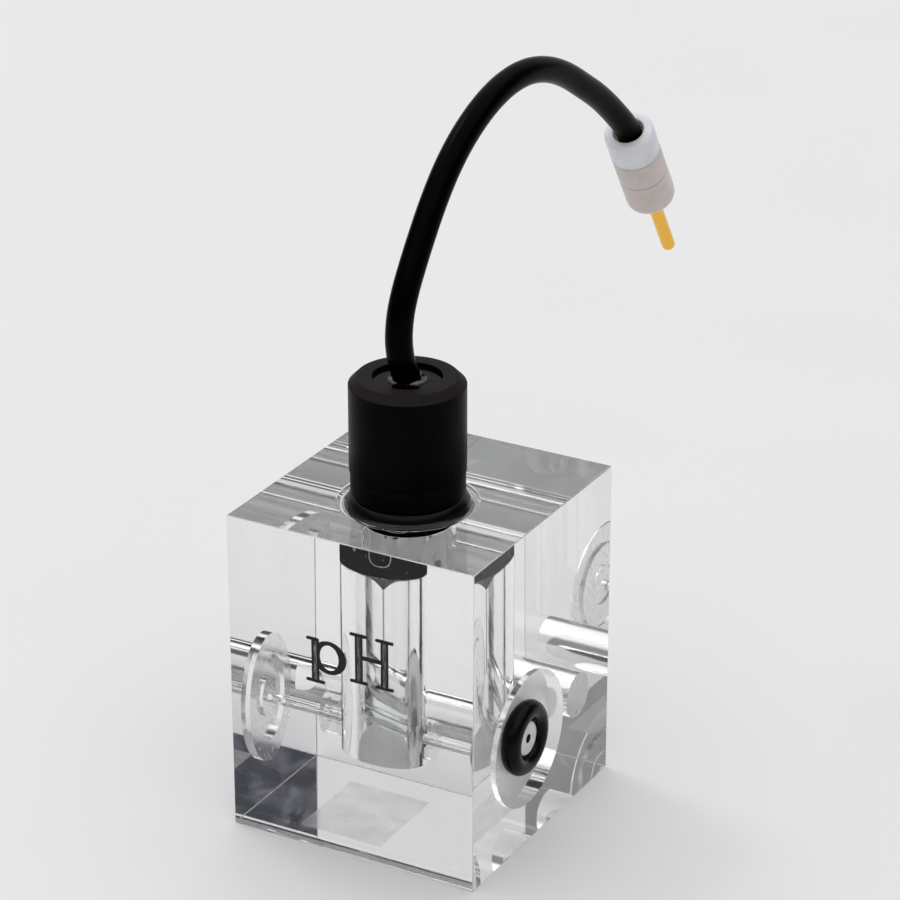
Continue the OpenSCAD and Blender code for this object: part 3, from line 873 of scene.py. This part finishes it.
def stem_curve(name, turns, heights, width, material):
    """Thin round bead laid on the stem along (turn, height): a circle of width / 2 square to the
    path, closed at both ends by rings of no radius."""
    stem_r = CHAMBER_R - 2 * BOND
    t = np.linspace(0, 1, 60)
    at = np.linspace(0, 1, len(turns))
    turn, z = np.interp(t, at, turns), np.interp(t, at, heights)
    path = np.stack([stem_r * np.cos(turn), AXIS_Y + stem_r * np.sin(turn), z], -1)
    out = unit(path * (1, 1, 0) - PLUG_AT)
    side = unit(np.cross(unit(np.gradient(path, axis=0)), out))
    turn = np.linspace(0, 2 * math.pi, 13)
    ring = np.cos(turn)[None, :, None] * out[:, None] + np.sin(turn)[None, :, None] * side[:, None]
    size = np.full(len(path), width / 2)
    size[[0, -1]] = 0
    return piece(name, [patch(path[:, None] + size[:, None, None] * ring, UP)], [material])


# Painted highlights of a bubble in the stem's cement: turns in degrees round the stem, heights and
# widths in millimetres
BUBBLE_TURN = -75.8
BUBBLE_HALF = 14.2
BUBBLE_LOW, BUBBLE_TOP = 26.71, 28.4
BUBBLE_RISE = 0.95
BUBBLE_LINE_W = 0.11
GLINT_TURNS = (-114, -113, -111)
GLINT_HEIGHTS = (28.2, 27.9, 27.6)
GLINT_W = 0.26


def bubble_pieces(material):
    """Painted highlights of the bubble in the stem's cement: a pale line along its rim, open upwards,
    and a glint beside it.
    """
    a = np.linspace(0, math.pi, 24)
    turns = math.radians(BUBBLE_TURN) - math.radians(BUBBLE_HALF) * np.cos(a)
    low = BUBBLE_LOW + BUBBLE_RISE * (1 - np.sin(a)) ** 1.4
    turns = np.concatenate([[turns[0]], turns, [turns[-1]]])
    heights = np.concatenate([[BUBBLE_TOP], low, [BUBBLE_TOP]])
    stem_curve("cement_bubble_edge_painted_highlight", turns, heights, BUBBLE_LINE_W, material)
    stem_curve("cement_bubble_glint", np.radians(GLINT_TURNS), GLINT_HEIGHTS, GLINT_W, material)


# The sign on the front face: the letters p and H in a plain slab-serif form, x and z in millimetres
SIGN_NEAR = 0.02
SIGN_DEEP = 0.13
# Step between bars that cross, so that no two faces coincide
SIGN_STEP = 0.004
SERIF_ROUND = 0.13
STROKE_ROUND = 0.05
STREAK_ROUND = 0.1
SERIF_H = 0.28
STEM_W = 0.72
HAIRLINE_W = 0.36
CROSSBAR_Z = 19.54
H_BASE, H_TOP = 17.2, 21.9
H_STEMS = (0.93, 3.44)
H_SERIF_W = 1.76
P_STEM = -3.37
P_BASE, P_TOP = 16.24, 20.48
P_SERIF_W = 1.85
BOWL_CENTRE = (-2.0, 18.87)
BOWL_OUTER = (1.68, 1.55)
BOWL_INNER = (0.95, 1.2)


def letter_bar(x_from, x_to, z_from, z_to, round_by=SERIF_ROUND, proud=SIGN_NEAR, number=0):
    """Flat bar of a letter: a rounded rectangle carried from its face back into the block."""
    corners = [(x_from, z_from), (x_to, z_from), (x_to, z_to), (x_from, z_to)]
    edge = rounded(corners, [round_by] * 4)
    edge = np.concatenate([edge, edge[:1]])
    middle = np.broadcast_to(edge[:-1].mean(0), edge.shape)
    near, far = BLOCK_LOW[1] - proud, BLOCK_LOW[1] + SIGN_DEEP
    rows = [(middle, near), (edge, near), (edge, far), (middle, far)]
    grid = [np.stack([q[:, 0], np.full(len(q), y), q[:, 1]], -1) for q, y in rows]
    return patch(grid, FRONT, number)


def letter_bowl():
    """Bowl of the p: the band between two ovals, carried back into the block."""
    turn = np.linspace(0, 2 * math.pi, 97)
    near, far = BLOCK_LOW[1] - SIGN_NEAR, BLOCK_LOW[1] + SIGN_DEEP
    rows = [(BOWL_OUTER, near), (BOWL_INNER, near), (BOWL_INNER, far), (BOWL_OUTER, far),
            (BOWL_OUTER, near)]
    grid = [np.stack([BOWL_CENTRE[0] + half[0] * np.cos(turn), np.full(len(turn), y),
                      BOWL_CENTRE[1] + half[1] * np.sin(turn)], -1) for half, y in rows]
    return patch(grid, FRONT)


def sign_piece():
    """Letters p and H, engraved and filled, as bars and one bowl."""
    bars = []
    # Each upright stroke has a narrow middle bar in the streaked grey enamel: a painted highlight
    streak = 0.2 * STEM_W
    proud = SIGN_NEAR + SIGN_STEP
    for x, low, high, width in [(P_STEM, P_BASE, P_TOP, P_SERIF_W)] + [
            (x, H_BASE, H_TOP, H_SERIF_W) for x in H_STEMS]:
        bars += [letter_bar(x - STEM_W / 2, x + STEM_W / 2, low + STROKE_ROUND, high - STROKE_ROUND,
                            STROKE_ROUND, proud),
                 letter_bar(x - streak, x + streak * 1.2, low + SERIF_H, high - SERIF_H,
                            STREAK_ROUND, proud + SIGN_STEP, 1),
                 letter_bar(x - width / 2, x + width / 2, low, low + SERIF_H)]
    bars += [letter_bar(x - H_SERIF_W / 2, x + H_SERIF_W / 2, H_TOP - SERIF_H, H_TOP) for x in H_STEMS]
    # The upper serif of the p points to the left only
    bars += [letter_bar(P_STEM - P_SERIF_W / 2 + 0.05, P_STEM + 0.3, P_TOP - SERIF_H, P_TOP),
             letter_bar(*H_STEMS, CROSSBAR_Z, CROSSBAR_Z + HAIRLINE_W, 0), letter_bowl()]
    return piece("front_sign", bars, [filled_enamel(), enamel_painted_highlight()])


# Lead and pin plug

def lead_path(steps=8):
    """Smooth line through the route's points: between each pair, a cubic whose slopes follow the
    chords from the point before to the point after."""
    p = np.asarray(LEAD_ROUTE, float)
    before = np.concatenate([[2 * p[0] - p[1]], p[:-1]])
    after = np.concatenate([p[1:], [2 * p[-1] - p[-2]]])
    reach_before = np.linalg.norm(p - before, axis=-1)
    reach_after = np.linalg.norm(after - p, axis=-1)
    slope = (after - before) / (reach_before + reach_after)[:, None]
    chord = np.linalg.norm(p[1:] - p[:-1], axis=-1)[:, None, None]
    t = np.linspace(0, 1, steps + 1)[:-1][None, :, None]
    a, b = p[:-1, None], p[1:, None]
    sa, sb = slope[:-1, None] * chord, slope[1:, None] * chord
    curve = ((2 * t ** 3 - 3 * t ** 2 + 1) * a + (t ** 3 - 2 * t ** 2 + t) * sa
             + (-2 * t ** 3 + 3 * t ** 2) * b + (t ** 3 - t ** 2) * sb)
    return LEAD_EXIT + np.concatenate([curve.reshape(-1, 3), p[-1:]])


def lead_piece(material):
    """Round jacket: a circle square to the path, carried along it, closed at both ends."""
    path = lead_path()
    tangent = unit(np.gradient(path, axis=0))
    side = np.array([1.0, 0, 0])
    up = np.cross(tangent, side)
    turn = np.linspace(0, 2 * math.pi, 33)
    ring = np.cos(turn)[None, :, None] * side + np.sin(turn)[None, :, None] * up[:, None, :]
    wall = path[:, None, :] + LEAD_R * ring
    caps = [np.stack([wall[k], np.broadcast_to(path[k], wall[k].shape)]) for k in (0, -1)]
    patches = [patch(wall, UP), patch(caps[0], DOWN), patch(caps[1], PLUG_DIR)]
    made = piece("lead", patches, [material], slot="lead_black", replaces=("lead_jacket",))
    length = np.linalg.norm(np.diff(path, axis=0), axis=-1).sum()
    return made, path, float(length)


# White sleeve: its radii, and where its first two sections end, from the mouth
SLEEVE_R = 2.35
SLEEVE_BORE_R = 1.45
SLEEVE_ENDS = (3.05, 5.95)


def sleeve_section(name, node, start, end, radii, material):
    """White sleeve section between two distances from the mouth, with its own corner radii."""
    profile = [(SLEEVE_BORE_R, start), (SLEEVE_R, start), (SLEEVE_R, end), (SLEEVE_BORE_R, end)]
    return turned_piece(name, rounded(profile, radii), MOUTH, PLUG_DIR, material,
                        slot="sleeve_white", replaces=(node,))


# Brightness of the surroundings
ROOM = (0.22, 0.215, 0.22, 1)
DARK_CORNER = (0.035, 0.038, 0.05, 1)
DARK_CORNER_LIGHT = (0.14, 0.143, 0.165, 1)
BACKDROP = (0.69, 0.685, 0.695, 1)
CEILING = (1.25, 1.25, 1.25, 1)
# Bearings of the backdrop and of the dark corner, and the cosines to them between which each fades in
BACKDROP_BEARING = (-0.4886, 0.8725, 0)
BACKDROP_FADE = (0.62, 0.78)
DARK_BEARING = (0.5592, 0.829, 0)
DARK_FADE = (0.8, 0.92)
# Sine of the height at which the ceiling fades in, and the noise values of the dark corner's clouds
CEILING_FADE = (0.51, 0.75)
CLOUD_FADE = (0.48, 0.72)


def world_light():
    """Studio round the table: a bright ceiling, a pale backdrop behind the object, a dim room.

    A dark corner of the room lies to the right of the backdrop. The ceiling fades in from 31 to 49
    degrees above the table.
    """
    world = bpy.data.worlds.new("studio")
    bpy.context.scene.world = world
    world.use_nodes = True
    tree = world.node_tree
    tree.nodes.clear()

    def cosine(bearing):
        return add(tree, "VectorMath", {0: level.outputs["Vector"], 1: bearing},
                   operation="DOT_PRODUCT").outputs["Value"]

    def mix(value, ends, first, second, kind="SMOOTHSTEP"):
        return add(tree, "Mix", {0: ramp(tree, value, ends, kind=kind), 6: first, 7: second},
                   data_type="RGBA").outputs[2]

    coords = add(tree, "TexCoord")
    apart = add(tree, "SeparateXYZ", {"Vector": coords.outputs["Generated"]})
    level = add(tree, "CombineXYZ", {"X": apart.outputs["X"], "Y": apart.outputs["Y"]})
    level = add(tree, "VectorMath", {0: level.outputs["Vector"]}, operation="NORMALIZE")
    clouds = add(tree, "TexNoise", {"Vector": coords.outputs["Generated"], "Scale": 130.0,
                                    "Detail": 4.0, "Distortion": 0.8})
    dark = mix(clouds.outputs["Fac"], CLOUD_FADE, DARK_CORNER, DARK_CORNER_LIGHT, "LINEAR")
    room = mix(cosine(DARK_BEARING), DARK_FADE, ROOM, dark)
    low = mix(cosine(BACKDROP_BEARING), BACKDROP_FADE, room, BACKDROP)
    whole = mix(apart.outputs["Z"], CEILING_FADE, low, CEILING)
    back = add(tree, "Background", {"Color": whole, "Strength": 1.0})
    out = add(tree, "OutputWorld")
    tree.links.new(back.outputs["Background"], out.inputs["Surface"])


def floor():
    """Plain pale laminate table that the block stands on, its tone faintly uneven over 30 mm."""
    made = principled("pale_table", "#efeff0", 0.6)
    tint(made, (30, 0.0), "#efeff0", "#eeeeef")
    size = 3.0
    mesh = bpy.data.meshes.new("floor")
    # A hundredth of a millimetre under the block, so that no two faces coincide
    z = -0.01 * MM
    mesh.from_pydata([(-size, -size, z), (size, -size, z), (size, size, z), (-size, size, z)], [],
                     [(0, 1, 2, 3)])
    mesh.materials.append(made)
    table = bpy.data.objects.new("floor", mesh)
    bpy.context.scene.collection.objects.link(table)


# The key lamp: place, target and side in metres, and power in watts
KEY_PLACE = (-0.55, 0.15, 0.85)
KEY_TARGET = (0, 0, 0.03)
KEY_SIZE = 0.2
KEY_POWER = 0.8


def key_light():
    """Square area lamp, high up at the left and a little behind, that looks at the block's top."""
    data = bpy.data.lights.new("key", "AREA")
    data.size = KEY_SIZE
    data.energy = KEY_POWER
    lamp = bpy.data.objects.new("key", data)
    aim = Vector(KEY_TARGET) - Vector(KEY_PLACE)
    turn = aim.to_track_quat("-Z", "Y").to_matrix().to_4x4()
    lamp.matrix_world = Matrix.Translation(KEY_PLACE) @ turn
    bpy.context.scene.collection.objects.link(lamp)


def build():
    """Makes every piece, the table, the surroundings and the lamp."""
    bpy.context.scene.view_settings.view_transform = "Standard"
    make_camera()
    jacket, path, length = lead_piece(pvc_jacket())
    acetal = black_acetal("turned_black_acetal", "#040405", 0.36)
    rubber, silicone = nitrile_rubber(), silicone_in_acrylic()
    cell_block_piece()
    gland_piece("clear_left_gland", LEFT_GLAND_LOW[0], LEFT_GLAND_HIGH[0] - GLAND_SHORT, silicone)
    gland_piece("clear_right_gland", RIGHT_GLAND_LOW[0] + GLAND_SHORT, RIGHT_GLAND_HIGH[0], silicone)
    plug_piece([acetal, bonded_acetal(), bevelled_acetal()])
    # The cap's chamfer and top get a lighter brown-grey acetal: partly scraped grey, partly painted
    # sheen from the bright ceiling
    cap_piece([acetal, black_acetal("scraped_acetal_and_painted_sheen", "#252120", 0.5)])
    drop_piece(dark_sealant())
    bubble_pieces(bubble_edge_painted_highlight())
    sign_piece()
    ring_r = (RING_HIGH[2] - RING_LOW[2]) / 2
    torus("plug_seal_ring", RING_HIGH[0] - ring_r, ring_r, (0, AXIS_Y, SEAT_Z + ring_r), UP, rubber,
          slot="black_rubber", replaces=("plug_ring",))
    face_r = (FACE_RING_HIGH[0] - FACE_RING_LOW[0]) / 2
    face_mean = (FACE_RING_HIGH[2] - FACE_RING_LOW[2]) / 2 - face_r
    torus("nozzle_seal_ring", face_mean, face_r, (PORT_FLOOR_X + face_r, AXIS_Y, CHANNEL_Z), RIGHT,
          rubber, slot="black_rubber", replaces=("face_ring",))

    white = ptfe("white_ptfe", "#eef0f4", "#e4e6ec")
    warm = ptfe("warm_ptfe", "#ded5d2", "#d8ccc6")
    gold = metal("gold_plate", "#f0bb4d", 0.22)
    copper = metal("crimped_copper", "#c98f68", 0.4)
    silver = metal("silver_wire_metal", "#ddd3c9", 0.5)
    first_end, second_end = SLEEVE_ENDS
    rear = sleeve_section("sleeve_rear", "rear_sleeve", 0, first_end, [0.15, 0.3, 0.12, 0], white)
    middle = sleeve_section("sleeve_middle", "middle_sleeve", first_end, second_end,
                            [0, 0.12, 0.12, 0], warm)
    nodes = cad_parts
    for name, material in (
            ("front_sleeve", warm), ("contact_pin", gold), ("crimp_barrel", copper),
            ("pin_conductor", copper), ("cap_conductor", copper), ("solder_bead", silver),
            ("silver_wire", silver), ("core_insulation", white), ("potting", black_epoxy())):
        mesh = nodes[name].data
        mesh.materials.clear()
        mesh.materials.append(material)
    # The inside of the nozzle's hole is painted dark grey: painted shade in the hole
    nozzle_piece([ptfe("nozzle_white", "#ecebe8", "#dddcd8"), nozzle_bore()])

    floor()
    world_light()
    key_light()


build()
